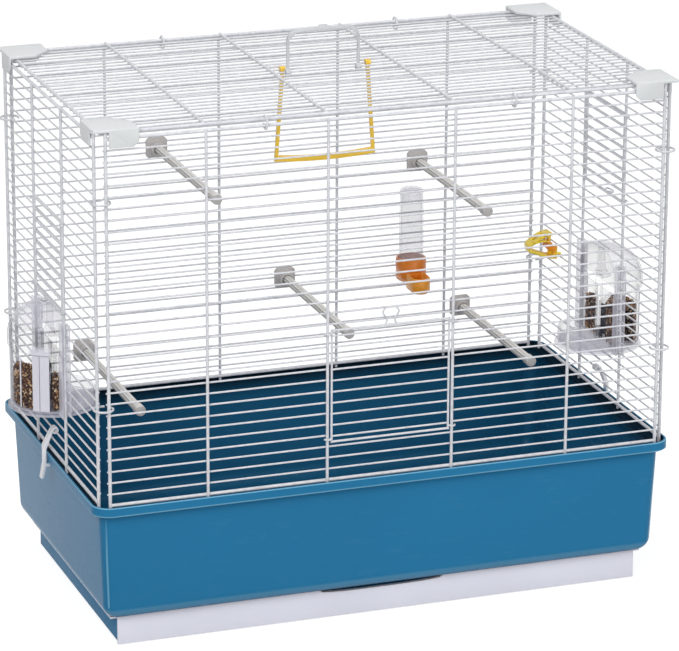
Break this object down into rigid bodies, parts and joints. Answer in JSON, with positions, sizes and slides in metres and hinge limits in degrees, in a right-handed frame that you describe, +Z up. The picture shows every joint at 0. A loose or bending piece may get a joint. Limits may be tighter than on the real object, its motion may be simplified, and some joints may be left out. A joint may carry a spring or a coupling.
{
  "type": "bird cage",
  "caption": "Box-shaped wire bird cage on a deep tray with a pull-out drawer, sliding wire doors, turning seed feeders, a drinker, perches, a swing and a handle.",
  "frame": {"origin": "under the middle of the base, on the ground plane", "axes": "+Z up, -Y out of the front with the door, +X to the right seen from the front"},
  "size_m": [0.662, 0.34, 0.5556],
  "materials": {
    "white_wire": "glossy white coat on welded wire",
    "blue_plastic": "glossy moulded plastic",
    "pale_plastic": "smooth moulded plastic",
    "cap_plastic": "satin moulded plastic",
    "perch_plastic": "fine matt moulded plastic",
    "yellow_plastic": "smooth moulded plastic",
    "lemon_plastic": "smooth moulded plastic",
    "orange_plastic": "smooth moulded plastic",
    "clear_plastic": "clear moulded plastic",
    "seed_mix": "loose dark seed",
    "foot_rubber": "matt pad"
  },
  "bodies": {
    "cage": {"front_panel": "white_wire", "back_panel": "white_wire", "left_panel": "white_wire", "right_panel": "white_wire", "roof_panel": "white_wire", "ring_upper_front_left": "white_wire", "ring_upper_front_right": "white_wire", "ring_upper_back_right": "white_wire", "ring_upper_back_left": "white_wire", "ring_lower_front_left": "white_wire", "ring_lower_front_right": "white_wire", "ring_lower_back_right": "white_wire", "ring_lower_back_left": "white_wire", "ring_roof_front_left": "white_wire", "ring_roof_front_right": "white_wire", "ring_roof_back_left": "white_wire", "ring_roof_back_right": "white_wire", "tray": "blue_plastic", "base_pan": "blue_plastic", "cap_front_left": "cap_plastic", "cap_front_right": "cap_plastic", "cap_back_right": "cap_plastic", "cap_back_left": "cap_plastic", "foot_front_left": "foot_rubber", "foot_front_right": "foot_rubber", "foot_back_right": "foot_rubber", "foot_back_left": "foot_rubber", "perch_1_rod": "perch_plastic", "perch_1_clip": "perch_plastic", "perch_2_rod": "perch_plastic", "perch_2_clip": "perch_plastic", "perch_3_rod": "perch_plastic", "perch_3_clip": "perch_plastic", "perch_4_rod": "perch_plastic", "perch_4_clip": "perch_plastic", "perch_5_rod": "perch_plastic", "perch_5_clip": "perch_plastic", "nibble_clip_lower": "lemon_plastic", "drinker_base": "orange_plastic", "drinker_tube": "clear_plastic", "left_feeder_frame": "clear_plastic", "right_feeder_frame": "clear_plastic"},
    "drawer": {"drawer": "pale_plastic"},
    "front_door": {"front_door": "white_wire"},
    "left_gate": {"left_gate": "white_wire"},
    "right_gate": {"right_gate": "white_wire"},
    "left_drum": {"left_feeder_drum": "clear_plastic", "left_seed_front": "seed_mix", "left_seed_middle": "seed_mix", "left_seed_back": "seed_mix"},
    "right_drum": {"right_feeder_drum": "clear_plastic", "right_seed_front": "seed_mix", "right_seed_middle": "seed_mix", "right_seed_back": "seed_mix"},
    "left_tray_clip": {"left_tray_clip": "cap_plastic"},
    "right_tray_clip": {"right_tray_clip": "cap_plastic"},
    "handle": {"handle": "cap_plastic"},
    "swing": {"swing": "yellow_plastic"},
    "nibble_jaw": {"nibble_clip_upper": "lemon_plastic"}
  },
  "joints": [
    {"name": "drawer_slide", "type": "slide", "parent": "cage", "child": "drawer", "axis": [0, -1, 0], "range_m": [0, 0.22]},
    {"name": "front_door_slide", "type": "slide", "parent": "cage", "child": "front_door", "axis": [0, 0, 1], "range_m": [0, 0.115]},
    {"name": "left_gate_slide", "type": "slide", "parent": "cage", "child": "left_gate", "axis": [0, 0, 1], "range_m": [0, 0.1]},
    {"name": "right_gate_slide", "type": "slide", "parent": "cage", "child": "right_gate", "axis": [0, 0, 1], "range_m": [-0.0555, 0.045]},
    {"name": "left_drum_turn", "type": "hinge", "parent": "cage", "child": "left_drum", "pos_m": [-0.287, 0, 0.203], "axis": [0, 0, 1], "range_deg": [0, 180]},
    {"name": "right_drum_turn", "type": "hinge", "parent": "cage", "child": "right_drum", "pos_m": [0.287, 0, 0.203], "axis": [0, 0, 1], "range_deg": [0, 180]},
    {"name": "left_tray_clip_hinge", "type": "hinge", "parent": "cage", "child": "left_tray_clip", "pos_m": [-0.287, 0, 0.17278], "axis": [0, 1, 0], "range_deg": [0, 70]},
    {"name": "right_tray_clip_hinge", "type": "hinge", "parent": "cage", "child": "right_tray_clip", "pos_m": [0.287, 0, 0.17278], "axis": [0, -1, 0], "range_deg": [0, 70]},
    {"name": "handle_hinge", "type": "hinge", "parent": "cage", "child": "handle", "pos_m": [-0.0105, 0, 0.511], "axis": [1, 0, 0], "range_deg": [-65, 77]},
    {"name": "swing_hinge", "type": "hinge", "parent": "cage", "child": "swing", "pos_m": [-0.0046, 0.01126, 0.511], "axis": [1, 0, 0], "range_deg": [-50, 50]},
    {"name": "nibble_jaw_hinge", "type": "hinge", "parent": "cage", "child": "nibble_jaw", "pos_m": [0.2785, 0.113, 0.27082], "axis": [0, 1, 0], "range_deg": [0, 18], "stiffness_Nm_per_rad": 0.02, "springref_deg": -11.46}
  ]
}
